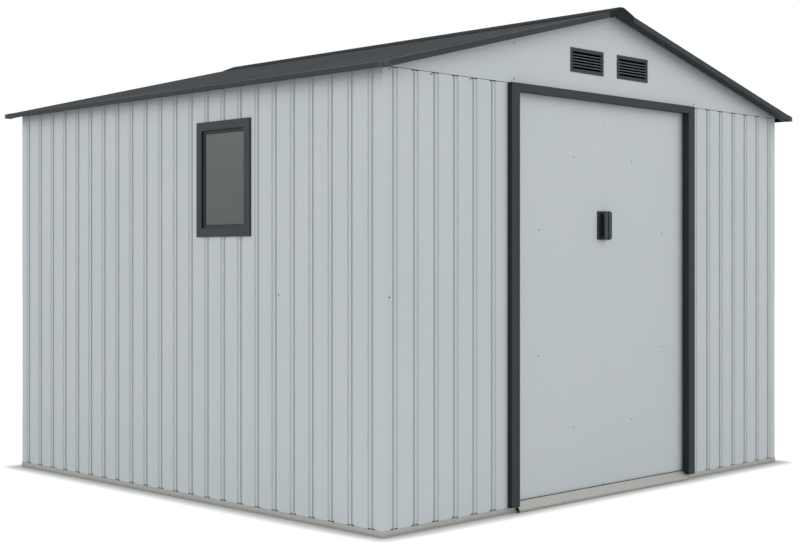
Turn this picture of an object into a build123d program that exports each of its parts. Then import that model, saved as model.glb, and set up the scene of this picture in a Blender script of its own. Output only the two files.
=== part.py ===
from build123d import *
from math import cos, radians, sin, tan
import os

# Metal storage shed with an apex roof and a pair of sliding doors in its front gable.
# Frame: X runs to the right along the front, the front faces -Y, Z is up, and the origin
# is on the ground at the middle of the floor plan. All sizes are in millimetres.

os.makedirs("parts", exist_ok=True)

# Ribbed wall sheet: every rib is a shallow valley with a bead that stands up in its middle
sheet = 1.0
rib_pitch = 104.5
rib_width = 38.0
rib_depth = 4.5
valley_knee_width = 26.6
valley_knee_depth = 3.6
bead_foot_width = 7.0
bead_width = 3.0

# Walls
front_ribs = 25
side_ribs = 23
corner_margin = 57.0
corner_flange = 30.0
wall_top = 1650.0
seam_gap = 0.5
seam_inset = 1.0
side_seam_ribs = (5, 11, 17)
back_seam_ribs = (6, 12, 18)

# Base rails
rail_sheet = 1.5
rail_lip_top = 24.0
rail_lip_bottom = 8.0
rail_foot_inset = 1.0
rail_width = 41.0
rail_inner_height = 26.0
cross_rail_width = 40.0
cross_rail_height = 24.0
cross_rail_places = (-400.0, 400.0)

# Stiffening rails inside the walls
middle_rail_centre = 842.0
middle_rail_height = 30.0
middle_rail_depth = 18.0
top_rail_height = 45.0
top_rail_depth = 30.0
rail_end_gap = 10.0
bracket_side_leg = 46.0
bracket_front_leg = 130.0

# Door frame
door_centre = -23.0
door_opening = 1147.0
frame_sheet = 1.2
frame_proud = 20.0
frame_return = 30.5
frame_lip = 12.0
jamb_face = 46.5
header_face = 31.0
gable_lap = 6.5
sheet_edge_inset = 3.0

# Door leaves
leaf_sheet = 1.0
leaf_depth = 22.0
leaf_gap = 5.0
leaf_lap = 30.0
leaf_head_lap = 15.0
leaf_foot_clearance = 21.3
leaf_lip = 13.0
door_clearance = 5.5
brace_places = (199.0, 417.0)
brace_width = 30.0
brace_clearance = 4.0

# Top track and hangers
track_sheet = 1.5
track_height = 33.0
track_slot = 12.0
track_end_gap = 32.0
track_above_leaf = 8.0
hanger_inset = 110.0
hanger_sheet = 2.0
hanger_foot_length = 60.0
hanger_foot_width = 18.0
hanger_web_length = 30.0
roller_radius = 11.0
roller_width = 10.0
roller_inset = 4.0
roller_clearance = 0.3
axle_radius = 3.0

# Pull handles
handle_height = 117.0
handle_centre = 1109.0
handle_base_width = 40.0
handle_base_depth = 3.0
grip_width = 22.5
grip_reach = 27.0
grip_corner = 12.0
grip_edge = 1.5
recess_wall = 8.5
recess_end_wall = 15.5
recess_floor = 5.0
recess_front = 4.0

# Door sill
sill_sheet = 1.2
sill_cover = 8.0
sill_front_lip = 3.5
sill_front_drop = 1.0
sill_reach = 18.5
sill_clearance = 6.0
sill_end_gap = 0.2

# Window in the left wall, set by one of that wall's ribs, counted from the front
window_rib = 8
window_offset = -3.0
window_drop = 364.0
window_width = 337.0
window_height = 455.0
window_band = 34.0
window_proud = 8.0
window_neck = 16.0
window_neck_depth = 18.0
window_edge = 2.0
rebate_width = 11.0
rebate_depth = 9.0
rebate_corner = 8.0
pane_thickness = 4.0
pane_recess = 4.0
pane_edge = 5.0
fit_clearance = 0.2
cutout_clearance = 1.0

# Gable sheets and the vents in them
gable_hem = 8.0
gable_hem_proud = 1.5
vent_width = 216.0
vent_height = 98.0
vent_place = 155.0
vent_rise = 126.0
vent_proud = 3.0
vent_neck = 2.0
vent_neck_depth = 4.0
vent_side_border = 12.0
vent_end_border = 14.0
vent_slots = 6
louvre_inset = 0.5
louvre_thickness = 2.0
louvre_angle = 35.0

# Roof
roof_angle = 14.25
eave_rise = 9.8
eave_overhang = 56.0
verge_overhang = 62.0
roof_ridge_gap = 6.0
roof_rest = 0.5
trim = 1.2
trim_depth = 21.0
trim_top_return = 25.0
verge_bottom_return = 42.0
eave_bottom_return = 16.0
eave_drop = 15.5
ridge_cap_half = 80.0
ridge_crest_half = 12.0
ridge_rise = 9.0
cap_size = 28.0
cap_proud = 1.0
cap_corner = 5.0
purlin_places = (460.0, 920.0)
purlin_width = 25.0
purlin_height = 30.0
ridge_beam_width = 40.0
ridge_beam_height = 45.0

# Sizes that follow
wall_width = (front_ribs - 1) * rib_pitch + 2 * corner_margin
wall_depth = (side_ribs - 1) * rib_pitch + 2 * corner_margin
half_width = wall_width / 2
half_depth = wall_depth / 2
wall_skin = rib_depth + sheet
ledge_top = rail_lip_bottom + rail_sheet
roof_half = half_width + eave_overhang
roof_end = half_depth + verge_overhang
roof_tan = tan(radians(roof_angle))
roof_cos = cos(radians(roof_angle))
roof_sin = sin(radians(roof_angle))
roof_apex = wall_top + eave_rise + roof_tan * half_width
ridge_crest = roof_apex + ridge_rise
gable_bottom = wall_top - gable_lap
door_left = door_centre - door_opening / 2
door_right = door_centre + door_opening / 2
opening_top = gable_bottom - header_face
leaf_front = frame_proud - frame_return - door_clearance
leaf_back = leaf_front - leaf_depth
leaf_middle = (leaf_front + leaf_back) / 2
leaf_width = (door_opening - leaf_gap) / 2 + leaf_lap
leaf_top = opening_top + leaf_head_lap
leaf_bottom = ledge_top + sill_sheet + leaf_foot_clearance
sill_top = leaf_bottom + sill_cover
track_bottom = leaf_top + track_above_leaf

side_rib_places = [corner_margin + rib_pitch * number for number in range(side_ribs)]
front_rib_places = [corner_margin + rib_pitch * number for number in range(front_ribs)]
window_centre = corner_margin + rib_pitch * window_rib + window_offset
window_height_centre = wall_top - window_drop
window_opening_width = window_width - 2 * window_band
window_opening_height = window_height - 2 * window_band
window_neck_width = window_opening_width + 2 * window_neck
window_neck_height = window_opening_height + 2 * window_neck

# Each wall starts at one corner and runs clockwise seen from above, so that the outside
# is always on its left
wall_start = {
    "left": (-half_width, -half_depth),
    "back": (-half_width, half_depth),
    "right": (half_width, half_depth),
    "front": (half_width, -half_depth),
}
wall_along = {"left": (0, 1), "back": (1, 0), "right": (0, -1), "front": (-1, 0)}
wall_length = {"left": wall_depth, "back": wall_width, "right": wall_depth, "front": wall_width}


def save(builder, name):
    """Label a finished piece and write its file."""
    builder.part.label = name
    export_step(builder.part, f"parts/{name}.step")


def folded(line, thickness):
    """Outline of a sheet folded along a line, with its thickness to the left of the line."""
    points = [Vector(x, y) for x, y in line]
    runs = [(end - start).normalized() for start, end in zip(points, points[1:])]
    sides = [Vector(-run.Y, run.X) for run in runs]
    pairs = zip(points, sides[:1] + sides, sides + sides[-1:])
    parallel = [point + (a + b) * (thickness / (1 + a.dot(b))) for point, a, b in pairs]
    return points + parallel[::-1]


def wall_plan(side, height):
    """Level plane on a wall: local X along the wall, local Y outwards."""
    x, y = wall_start[side]
    along_x, along_y = wall_along[side]
    return Plane(origin=(x, y, height), x_dir=(along_x, along_y, 0), z_dir=(0, 0, 1))


def wall_section(side, start=0.0):
    """Upright plane across a wall: local X outwards, local Y up, normal along the wall."""
    x, y = wall_start[side]
    along_x, along_y = wall_along[side]
    origin = (x + along_x * start, y + along_y * start, 0)
    return Plane(origin=origin, x_dir=(-along_y, along_x, 0), z_dir=(along_x, along_y, 0))


def face_plane(side_x, y, z):
    """Upright plane that faces the front, for what is set on the front wall."""
    return Plane(origin=(side_x, y, z), x_dir=(1, 0, 0), z_dir=(0, -1, 0))


def rib_points(centre):
    """One rib: a valley each side of a bead that comes back up to the sheet's face."""
    half = [
        (rib_width / 2, 0),
        (valley_knee_width / 2, -valley_knee_depth),
        (bead_foot_width / 2, -rib_depth),
        (bead_width / 2, 0),
    ]
    before = [(centre - along, out) for along, out in half]
    after = [(centre + along, out) for along, out in reversed(half)]
    return before + after


def sheet_points(start, end, rib_places):
    """Section of a ribbed sheet: its outer face, then its inner face one thickness in."""
    outer = [(start, 0)]
    for place in rib_places:
        if start < place - rib_width / 2 and place + rib_width / 2 < end:
            outer += rib_points(place)
    outer.append((end, 0))
    return outer + [(along, out - sheet) for along, out in reversed(outer)]


def seam_after(rib):
    """Place of the seam between two wall sheets, just past a rib."""
    return corner_margin + rib * rib_pitch + rib_width / 2 + seam_inset


def sheet_spans(seams, start, end):
    """Start and end of each sheet between the seams, with a gap at every seam."""
    edges = [start - seam_gap / 2] + seams + [end + seam_gap / 2]
    return [(a + seam_gap / 2, b - seam_gap / 2) for a, b in zip(edges, edges[1:])]


def front_place(x):
    """Distance of an X value along the front wall, which starts at the right corner."""
    return half_width - x


def roof_top(x):
    """Height of the roof's upper face at a distance x from the ridge."""
    return roof_apex - roof_tan * abs(x)


# Base rails: a channel foot, a ledge that the wall sheets stand on, and a lip outside them
rail_line = [
    (rail_sheet, rail_lip_top),
    (rail_sheet, rail_lip_bottom),
    (-rail_foot_inset, rail_lip_bottom),
    (-rail_foot_inset, 0),
    (-rail_foot_inset - rail_width, 0),
    (-rail_foot_inset - rail_width, rail_inner_height),
]
for side in ("left", "back", "right", "front"):
    start_x, start_y = wall_start[side]
    along_x, along_y = wall_along[side]
    length = wall_length[side]
    start_mitre = Plane(
        origin=(start_x, start_y, 0), z_dir=(along_x - along_y, along_y + along_x, 0)
    )
    end_mitre = Plane(
        origin=(start_x + along_x * length, start_y + along_y * length, 0),
        z_dir=(-along_x - along_y, -along_y + along_x, 0),
    )
    with BuildPart() as base_rail:
        with BuildSketch(wall_section(side, -2 * rail_sheet)):
            with BuildLine():
                Polyline(*folded(rail_line, -rail_sheet), close=True)
            make_face()
        extrude(amount=length + 4 * rail_sheet)
        split(bisect_by=start_mitre, keep=Keep.TOP)
        split(bisect_by=end_mitre, keep=Keep.TOP)
        if side == "front":
            with BuildSketch(Plane.XY.offset(ledge_top)):
                with Locations((door_centre, -half_depth)):
                    Rectangle(door_opening, 4 * rail_width)
            extrude(amount=rail_inner_height, mode=Mode.SUBTRACT)
    save(base_rail, f"base_rail_{side}")

cross_rail_end = half_width - rail_foot_inset - rail_width
cross_rail_line = [
    (-cross_rail_width / 2, 0),
    (-cross_rail_width / 2, cross_rail_height),
    (cross_rail_width / 2, cross_rail_height),
    (cross_rail_width / 2, 0),
]
with BuildPart() as base_cross_rails:
    for place in cross_rail_places:
        with BuildSketch(Plane(origin=(-cross_rail_end, place, 0), x_dir=(0, 1, 0), z_dir=(1, 0, 0))):
            with BuildLine():
                Polyline(*folded(cross_rail_line, -rail_sheet), close=True)
            make_face()
        extrude(amount=2 * cross_rail_end)
save(base_cross_rails, "base_cross_rails")

# Side walls: sheets of six ribs, with the end sheets folded round the corners
side_seams = [seam_after(rib) for rib in side_seam_ribs]
left_names = ("left_wall_front", "left_wall_window", "left_wall_middle", "left_wall_back")
window_plane = Plane(
    origin=(-half_width, window_centre - half_depth, window_height_centre),
    x_dir=(0, -1, 0),
    z_dir=(-1, 0, 0),
)
for name, (start, end) in zip(left_names, sheet_spans(side_seams, 0, wall_depth)):
    with BuildPart() as left_sheet:
        with BuildSketch(wall_plan("left", ledge_top)):
            with BuildLine():
                Polyline(*sheet_points(start, end, side_rib_places), close=True)
            make_face()
            if start == 0:
                with Locations((sheet / 2, -corner_flange / 2)):
                    Rectangle(sheet, corner_flange)
            if end == wall_depth:
                with Locations((wall_depth - sheet / 2, -corner_flange / 2)):
                    Rectangle(sheet, corner_flange)
        extrude(amount=wall_top - ledge_top)
        if start < window_centre < end:
            with BuildSketch(window_plane):
                Rectangle(
                    window_neck_width + 2 * cutout_clearance,
                    window_neck_height + 2 * cutout_clearance,
                )
            extrude(amount=4 * rib_depth, both=True, mode=Mode.SUBTRACT)
    save(left_sheet, name)

right_seams = [wall_depth - seam for seam in reversed(side_seams)]
with BuildPart() as right_wall:
    with BuildSketch(wall_plan("right", ledge_top)):
        for start, end in sheet_spans(right_seams, 0, wall_depth):
            with BuildLine():
                Polyline(*sheet_points(start, end, side_rib_places), close=True)
            make_face()
        with Locations(
            (sheet / 2, -corner_flange / 2), (wall_depth - sheet / 2, -corner_flange / 2)
        ):
            Rectangle(sheet, corner_flange)
    extrude(amount=wall_top - ledge_top)
save(right_wall, "right_wall")

# Back wall and the two front sheets, which start where the corner flanges end
flange_end = corner_flange + seam_gap
back_seams = [seam_after(rib) for rib in back_seam_ribs]
with BuildPart() as back_wall:
    with BuildSketch(wall_plan("back", ledge_top)):
        for start, end in sheet_spans(back_seams, flange_end, wall_width - flange_end):
            with BuildLine():
                Polyline(*sheet_points(start, end, front_rib_places), close=True)
            make_face()
    extrude(amount=wall_top - ledge_top)
save(back_wall, "back_wall")

front_spans = {
    "front_wall_left": (front_place(door_left - sheet_edge_inset), wall_width - flange_end),
    "front_wall_right": (flange_end, front_place(door_right + sheet_edge_inset)),
}
for name, (start, end) in front_spans.items():
    with BuildPart() as front_sheet:
        with BuildSketch(wall_plan("front", ledge_top)):
            with BuildLine():
                Polyline(*sheet_points(start, end, front_rib_places), close=True)
            make_face()
        extrude(amount=wall_top - ledge_top)
    save(front_sheet, name)

# Stiffening rails inside the left, back and right walls: they touch the backs of the ribs
middle_rail_line = [
    (-wall_skin, middle_rail_centre - middle_rail_height / 2),
    (-wall_skin - middle_rail_depth, middle_rail_centre - middle_rail_height / 2),
    (-wall_skin - middle_rail_depth, middle_rail_centre + middle_rail_height / 2),
    (-wall_skin, middle_rail_centre + middle_rail_height / 2),
]
top_rail_line = [
    (-wall_skin, wall_top - top_rail_height),
    (-wall_skin, wall_top),
    (-wall_skin - top_rail_depth, wall_top),
]
bracket_end = wall_skin + bracket_side_leg + rail_sheet
middle_rail_starts = {
    "left": (bracket_end, rail_end_gap),
    "right": (rail_end_gap, bracket_end),
    "back": (2 * wall_skin + middle_rail_depth, 2 * wall_skin + middle_rail_depth),
}
top_rail_starts = {
    "left": (rail_end_gap, rail_end_gap),
    "right": (rail_end_gap, rail_end_gap),
    "back": (rail_end_gap + top_rail_depth, rail_end_gap + top_rail_depth),
}
with BuildPart() as wall_middle_rails:
    for side, (start, end) in middle_rail_starts.items():
        with BuildSketch(wall_section(side, start)):
            with BuildLine():
                Polyline(*folded(middle_rail_line, -rail_sheet), close=True)
            make_face()
        extrude(amount=wall_length[side] - start - end)
save(wall_middle_rails, "wall_middle_rails")

with BuildPart() as wall_top_rails:
    for side, (start, end) in top_rail_starts.items():
        with BuildSketch(wall_section(side, start)):
            with BuildLine():
                Polyline(*folded(top_rail_line, rail_sheet), close=True)
            make_face()
        extrude(amount=wall_length[side] - start - end)
save(wall_top_rails, "wall_top_rails")

# Angle brackets that tie the side rails to the front sheets, past the reach of the doors
bracket_corner = (-half_width + wall_skin, -half_depth + wall_skin)
bracket_line = [
    (bracket_corner[0], bracket_corner[1] + bracket_side_leg),
    bracket_corner,
    (bracket_corner[0] + bracket_front_leg, bracket_corner[1]),
]
with BuildPart() as corner_brackets:
    with BuildSketch(Plane.XY.offset(middle_rail_centre - middle_rail_height / 2)):
        with BuildLine():
            Polyline(*folded(bracket_line, rail_sheet), close=True)
        make_face()
    extrude(amount=middle_rail_height)
    mirror(about=Plane.YZ)
save(corner_brackets, "corner_brackets")

# Gable sheets: smooth, cut along the roof's slope, hemmed below, with openings for the vents
vent_middle = gable_bottom + vent_rise
vent_opening_width = vent_width - 2 * vent_side_border
vent_opening_height = vent_height - 2 * vent_end_border
gable_rest = (sheet + roof_rest) / roof_cos
with BuildPart() as front_gable:
    with BuildSketch(face_plane(0, -half_depth, 0)):
        with BuildLine():
            Polyline(
                (-half_width, gable_bottom),
                (half_width, gable_bottom),
                (half_width, roof_top(half_width) - gable_rest),
                (0, roof_top(0) - gable_rest),
                (-half_width, roof_top(half_width) - gable_rest),
                close=True,
            )
        make_face()
        with Locations((-vent_place, vent_middle), (vent_place, vent_middle)):
            Rectangle(
                vent_opening_width + 2 * vent_neck + 2 * cutout_clearance,
                vent_opening_height + 2 * vent_neck + 2 * cutout_clearance,
                mode=Mode.SUBTRACT,
            )
    extrude(amount=sheet)
    with BuildSketch(face_plane(0, -half_depth - sheet, gable_bottom)):
        Rectangle(wall_width, gable_hem, align=(Align.CENTER, Align.MIN))
    extrude(amount=gable_hem_proud)
save(front_gable, "front_gable")

with BuildPart() as back_gable:
    mirror(front_gable.part, about=Plane.XZ)
save(back_gable, "back_gable")

# Vents: a flange on the gable's face, a neck through its opening, and slanted louvres
louvre_pitch = vent_opening_height / vent_slots
louvre_cos = cos(radians(louvre_angle))
louvre_sin = sin(radians(louvre_angle))
vent_depth = vent_proud + vent_neck_depth
louvre_length = (vent_depth - 2 * louvre_inset - louvre_thickness * louvre_sin) / louvre_cos
vent_plane = face_plane(0, -half_depth - sheet, vent_middle)
with BuildPart() as front_vents:
    with BuildSketch(vent_plane):
        with Locations((-vent_place, 0), (vent_place, 0)):
            Rectangle(vent_width, vent_height)
            Rectangle(vent_opening_width, vent_opening_height, mode=Mode.SUBTRACT)
    extrude(amount=vent_proud)
    with BuildSketch(vent_plane):
        with Locations((-vent_place, 0), (vent_place, 0)):
            Rectangle(vent_opening_width + 2 * vent_neck, vent_opening_height + 2 * vent_neck)
            Rectangle(vent_opening_width, vent_opening_height, mode=Mode.SUBTRACT)
    extrude(amount=-vent_neck_depth)
    for place in (-vent_place, vent_place):
        louvre_plane = Plane(
            origin=(
                place - vent_opening_width / 2,
                -half_depth - sheet + vent_depth / 2 - vent_proud,
                vent_middle,
            ),
            x_dir=(0, -1, 0),
            z_dir=(-1, 0, 0),
        )
        with BuildSketch(louvre_plane):
            with GridLocations(0, louvre_pitch, 1, vent_slots - 1):
                Rectangle(louvre_length, louvre_thickness, rotation=-louvre_angle)
        extrude(amount=-vent_opening_width)
save(front_vents, "front_vents")

with BuildPart() as back_vents:
    mirror(front_vents.part, about=Plane.XZ)
save(back_vents, "back_vents")

# Door frame: one folded section round the opening, mitred at its corners
jamb_line = [
    (frame_lip, frame_proud - frame_return),
    (0, frame_proud - frame_return),
    (0, frame_proud),
    (jamb_face, frame_proud),
    (jamb_face, 0),
]
header_line = [
    (frame_lip, frame_proud - frame_return),
    (0, frame_proud - frame_return),
    (0, frame_proud),
    (header_face, frame_proud),
    (header_face, 0),
]
door_mirror = Plane.YZ.offset(door_centre)
left_mitre = Plane(
    origin=(door_left, -half_depth, opening_top), z_dir=(header_face, 0, jamb_face)
)
right_mitre = Plane(
    origin=(door_right, -half_depth, opening_top), z_dir=(-header_face, 0, jamb_face)
)
jamb_plane = Plane(
    origin=(door_left, -half_depth, rail_lip_top), x_dir=(-1, 0, 0), z_dir=(0, 0, 1)
)
with BuildPart() as door_jamb_left:
    with BuildSketch(jamb_plane):
        with BuildLine():
            Polyline(*folded(jamb_line, -frame_sheet), close=True)
        make_face()
    extrude(amount=gable_bottom - rail_lip_top)
    split(bisect_by=left_mitre, keep=Keep.BOTTOM)
save(door_jamb_left, "door_jamb_left")

with BuildPart() as door_jamb_right:
    mirror(door_jamb_left.part, about=door_mirror)
save(door_jamb_right, "door_jamb_right")

header_plane = Plane(
    origin=(door_left - jamb_face, -half_depth, opening_top), x_dir=(0, 0, 1), z_dir=(1, 0, 0)
)
with BuildPart() as door_header:
    with BuildSketch(header_plane):
        with BuildLine():
            Polyline(*folded(header_line, -frame_sheet), close=True)
        make_face()
    extrude(amount=door_opening + 2 * jamb_face)
    split(bisect_by=left_mitre, keep=Keep.TOP)
    split(bisect_by=right_mitre, keep=Keep.TOP)
save(door_header, "door_header")

# Door sill: one folded sheet, sloping down outside the leaves, that guides their feet
sill_line = [
    (sill_reach, ledge_top - sill_front_drop),
    (sill_reach, ledge_top - sill_front_drop + sill_front_lip),
    (leaf_front + sill_clearance, sill_top),
    (leaf_front + sill_clearance, ledge_top + sill_sheet),
    (leaf_back - sill_clearance, ledge_top + sill_sheet),
    (leaf_back - sill_clearance, sill_top),
]
sill_start = front_place(door_right - sill_end_gap)
with BuildPart() as door_sill:
    with BuildSketch(wall_section("front", sill_start)):
        with BuildLine():
            Polyline(*folded(sill_line, sill_sheet), close=True)
        make_face()
    extrude(amount=door_opening - 2 * sill_end_gap)
save(door_sill, "door_sill")

# Top track: a channel with its slot underneath, fixed to the backs of the front sheets
track_middle = -half_depth - leaf_middle
track_half_width = -leaf_middle - wall_skin
track_end_x = half_width - wall_skin - top_rail_depth - track_end_gap
track_line = [
    (track_slot / 2, track_bottom),
    (track_half_width, track_bottom),
    (track_half_width, track_bottom + track_height),
    (-track_half_width, track_bottom + track_height),
    (-track_half_width, track_bottom),
    (-track_slot / 2, track_bottom),
]
with BuildPart() as door_track:
    with BuildSketch(Plane(origin=(-track_end_x, track_middle, 0), x_dir=(0, 1, 0), z_dir=(1, 0, 0))):
        with BuildLine():
            Polyline(*folded(track_line, track_sheet), close=True)
        make_face()
    extrude(amount=2 * track_end_x)
save(door_track, "door_track")

# Left door leaf: a tray of sheet, open to the inside, with a lip round its back
leaf_seam = door_centre - leaf_gap / 2
leaf_centre = leaf_seam - leaf_width / 2
leaf_height = leaf_top - leaf_bottom
leaf_face = face_plane(leaf_centre, -half_depth - leaf_front, (leaf_top + leaf_bottom) / 2)
with BuildPart() as door_leaf_left:
    with BuildSketch(leaf_face):
        Rectangle(leaf_width, leaf_height)
    extrude(amount=-leaf_depth)
    with BuildSketch(leaf_face.offset(-leaf_sheet)):
        Rectangle(leaf_width - 2 * leaf_sheet, leaf_height - 2 * leaf_sheet)
    extrude(amount=-(leaf_depth - 2 * leaf_sheet), mode=Mode.SUBTRACT)
    with BuildSketch(leaf_face.offset(-leaf_depth)):
        Rectangle(leaf_width - 2 * leaf_lip, leaf_height - 2 * leaf_lip)
    extrude(amount=2 * leaf_sheet, mode=Mode.SUBTRACT)
save(door_leaf_left, "door_leaf_left")

# Braces: upright channels inside the leaf, seated on the back of its skin
brace_depth = leaf_depth - 2 * leaf_sheet - brace_clearance
brace_line = [
    (-brace_width / 2, 0),
    (-brace_width / 2, brace_depth),
    (brace_width / 2, brace_depth),
    (brace_width / 2, 0),
]
with BuildPart() as door_braces_left:
    for place in brace_places:
        brace_plane = Plane(
            origin=(leaf_seam - place, -half_depth - leaf_front + leaf_sheet, leaf_bottom + leaf_sheet),
            x_dir=(1, 0, 0),
            z_dir=(0, 0, 1),
        )
        with BuildSketch(brace_plane):
            with BuildLine():
                Polyline(*folded(brace_line, -leaf_sheet), close=True)
            make_face()
        extrude(amount=leaf_height - 2 * leaf_sheet)
save(door_braces_left, "door_braces_left")

# Hangers: a foot on the leaf's top edge, a web through the track's slot, and two rollers
hanger_places = (hanger_inset, leaf_width - hanger_inset)
roller_centre = track_bottom + track_sheet + roller_clearance + roller_radius
web_top = roller_centre + 2 * axle_radius
with BuildPart() as door_hangers_left:
    for place in hanger_places:
        middle = leaf_seam - place
        with BuildSketch(Plane.XY.offset(leaf_top)):
            with Locations((middle, track_middle)):
                Rectangle(hanger_foot_length, hanger_foot_width)
        extrude(amount=hanger_sheet)
        with BuildSketch(Plane.XY.offset(leaf_top)):
            with Locations((middle, track_middle)):
                Rectangle(hanger_web_length, hanger_sheet)
        extrude(amount=web_top - leaf_top)
        axle_face = face_plane(middle, track_middle, roller_centre)
        with BuildSketch(axle_face):
            Circle(axle_radius)
        extrude(amount=roller_inset, both=True)
        for side in (-1, 1):
            with BuildSketch(axle_face.offset(side * roller_inset)):
                Circle(roller_radius)
            extrude(amount=side * roller_width)
save(door_hangers_left, "door_hangers_left")

# Pull handle: a base plate with a grip along the meeting edge, hollowed for the fingers
handle_plane = face_plane(leaf_seam, -half_depth - leaf_front, handle_centre)
recess_width = grip_width - recess_wall
recess_height = handle_height - 2 * recess_end_wall
with BuildPart() as door_handle_left:
    with BuildSketch(handle_plane):
        with Locations((-handle_base_width / 2, 0)):
            Rectangle(handle_base_width, handle_height)
    extrude(amount=handle_base_depth)
    with BuildSketch(handle_plane):
        with Locations((-grip_width / 2, 0)):
            Rectangle(grip_width, handle_height)
        fillet(vertices().group_by(Axis.X)[0], radius=grip_corner)
    extrude(amount=grip_reach)
    chamfer(faces().sort_by(Axis.Y)[0].edges(), length=grip_edge)
    with BuildSketch(handle_plane.offset(recess_floor)):
        with Locations((-grip_width + recess_width / 2, 0)):
            Rectangle(recess_width, recess_height)
    extrude(amount=grip_reach - recess_front - recess_floor, mode=Mode.SUBTRACT)
save(door_handle_left, "door_handle_left")

# The right door mirrors the left one about the middle of the doorway
left_door = {
    "door_leaf_right": door_leaf_left,
    "door_braces_right": door_braces_left,
    "door_hangers_right": door_hangers_left,
    "door_handle_right": door_handle_left,
}
for name, original in left_door.items():
    with BuildPart() as right_piece:
        mirror(original.part, about=door_mirror)
    save(right_piece, name)

# Window: a moulded frame whose neck passes through the wall, stepped in round the daylight
# opening, and a pane in its groove
daylight_width = window_opening_width - 2 * rebate_width
daylight_height = window_opening_height - 2 * rebate_width
pane_width = daylight_width + 2 * pane_edge
pane_height = daylight_height + 2 * pane_edge
with BuildPart() as window_frame:
    with BuildSketch(window_plane):
        Rectangle(window_width, window_height)
    extrude(amount=window_proud)
    with BuildSketch(window_plane):
        Rectangle(window_neck_width, window_neck_height)
    extrude(amount=-window_neck_depth)
    chamfer(faces().sort_by(Axis.X)[0].edges(), length=window_edge)
    with BuildSketch(window_plane.offset(window_proud)):
        RectangleRounded(window_opening_width, window_opening_height, rebate_corner)
    extrude(amount=-rebate_depth, mode=Mode.SUBTRACT)
    with BuildSketch(window_plane.offset(window_proud)):
        Rectangle(daylight_width, daylight_height)
    extrude(amount=-window_proud - window_neck_depth, mode=Mode.SUBTRACT)
    with BuildSketch(window_plane.offset(-pane_recess + fit_clearance)):
        Rectangle(pane_width + 2 * fit_clearance, pane_height + 2 * fit_clearance)
    extrude(amount=-pane_thickness - 2 * fit_clearance, mode=Mode.SUBTRACT)
save(window_frame, "window_frame")

with BuildPart() as window_pane:
    with BuildSketch(window_plane.offset(-pane_recess)):
        Rectangle(pane_width, pane_height)
    extrude(amount=-pane_thickness)
save(window_pane, "window_pane")

# Roof beams: a channel under the ridge and purlins under each slope, gable to gable
beam_top = roof_top(ridge_beam_width / 2) - wall_skin / roof_cos
ridge_beam_line = [
    (-ridge_beam_width / 2, -ridge_beam_height),
    (-ridge_beam_width / 2, 0),
    (ridge_beam_width / 2, 0),
    (ridge_beam_width / 2, -ridge_beam_height),
]
with BuildPart() as ridge_beam:
    with BuildSketch(face_plane(0, half_depth, beam_top)):
        with BuildLine():
            Polyline(*folded(ridge_beam_line, -rail_sheet), close=True)
        make_face()
    extrude(amount=wall_depth)
save(ridge_beam, "ridge_beam")

purlin_line = [
    (-purlin_width / 2, -wall_skin - purlin_height),
    (-purlin_width / 2, -wall_skin),
    (purlin_width / 2, -wall_skin),
    (purlin_width / 2, -wall_skin - purlin_height),
]
with BuildPart() as roof_purlins:
    for place in purlin_places:
        purlin_plane = Plane(
            origin=(-place, -half_depth, roof_top(place)),
            x_dir=(-roof_cos, 0, -roof_sin),
            z_dir=(0, 1, 0),
        )
        with BuildSketch(purlin_plane):
            with BuildLine():
                Polyline(*folded(purlin_line, -rail_sheet), close=True)
            make_face()
        extrude(amount=wall_depth)
    mirror(about=Plane.YZ)
save(roof_purlins, "roof_purlins")

# Roof sheets: ribbed like the walls, from the ridge to the eaves, notched for the corner caps
sheet_end_y = roof_end - trim
roof_rib_places = [place - half_depth for place in side_rib_places]
roof_seams = [half_depth - seam for seam in reversed(side_seams)]
slope_start = roof_ridge_gap / roof_cos
slope_end = (roof_half - trim) / roof_cos
with BuildPart() as roof_left:
    roof_plane = Plane(
        origin=(0, 0, roof_apex), x_dir=(0, -1, 0), z_dir=(-roof_cos, 0, -roof_sin)
    )
    with BuildSketch(roof_plane.offset(slope_start)):
        for start, end in sheet_spans(roof_seams, -sheet_end_y, sheet_end_y):
            with BuildLine():
                Polyline(*sheet_points(start, end, roof_rib_places), close=True)
            make_face()
    extrude(amount=slope_end - slope_start)
    with BuildSketch(Plane.XY.offset(roof_top(roof_half) - cap_size)):
        with Locations((-roof_half, -roof_end), (-roof_half, roof_end)):
            Rectangle(2 * cap_size, 2 * cap_size)
    extrude(amount=3 * cap_size, mode=Mode.SUBTRACT)
save(roof_left, "roof_left")

with BuildPart() as roof_right:
    mirror(roof_left.part, about=Plane.YZ)
save(roof_right, "roof_right")

# Ridge cap: a folded sheet over the ridge, with its ends turned down over the verges
cap_under = roof_top(ridge_cap_half) + trim / roof_cos
cap_line = [
    (-ridge_cap_half, cap_under),
    (-ridge_crest_half, ridge_crest - trim),
    (ridge_crest_half, ridge_crest - trim),
    (ridge_cap_half, cap_under),
]
flap_drop = (trim_depth + trim) / roof_cos
with BuildPart() as ridge_cap:
    with BuildSketch(face_plane(0, roof_end, 0)):
        with BuildLine():
            Polyline(*folded(cap_line, trim), close=True)
        make_face()
    extrude(amount=2 * roof_end)
    for end_y in (-roof_end, roof_end + trim):
        with BuildSketch(face_plane(0, end_y, 0)):
            with BuildLine():
                Polyline(
                    (-ridge_cap_half, cap_under + trim),
                    (-ridge_crest_half, ridge_crest),
                    (ridge_crest_half, ridge_crest),
                    (ridge_cap_half, cap_under + trim),
                    (ridge_cap_half, roof_top(ridge_cap_half) - flap_drop),
                    (0, roof_top(0) - flap_drop),
                    (-ridge_cap_half, roof_top(ridge_cap_half) - flap_drop),
                    close=True,
                )
            make_face()
        extrude(amount=trim)
save(ridge_cap, "ridge_cap")

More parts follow.
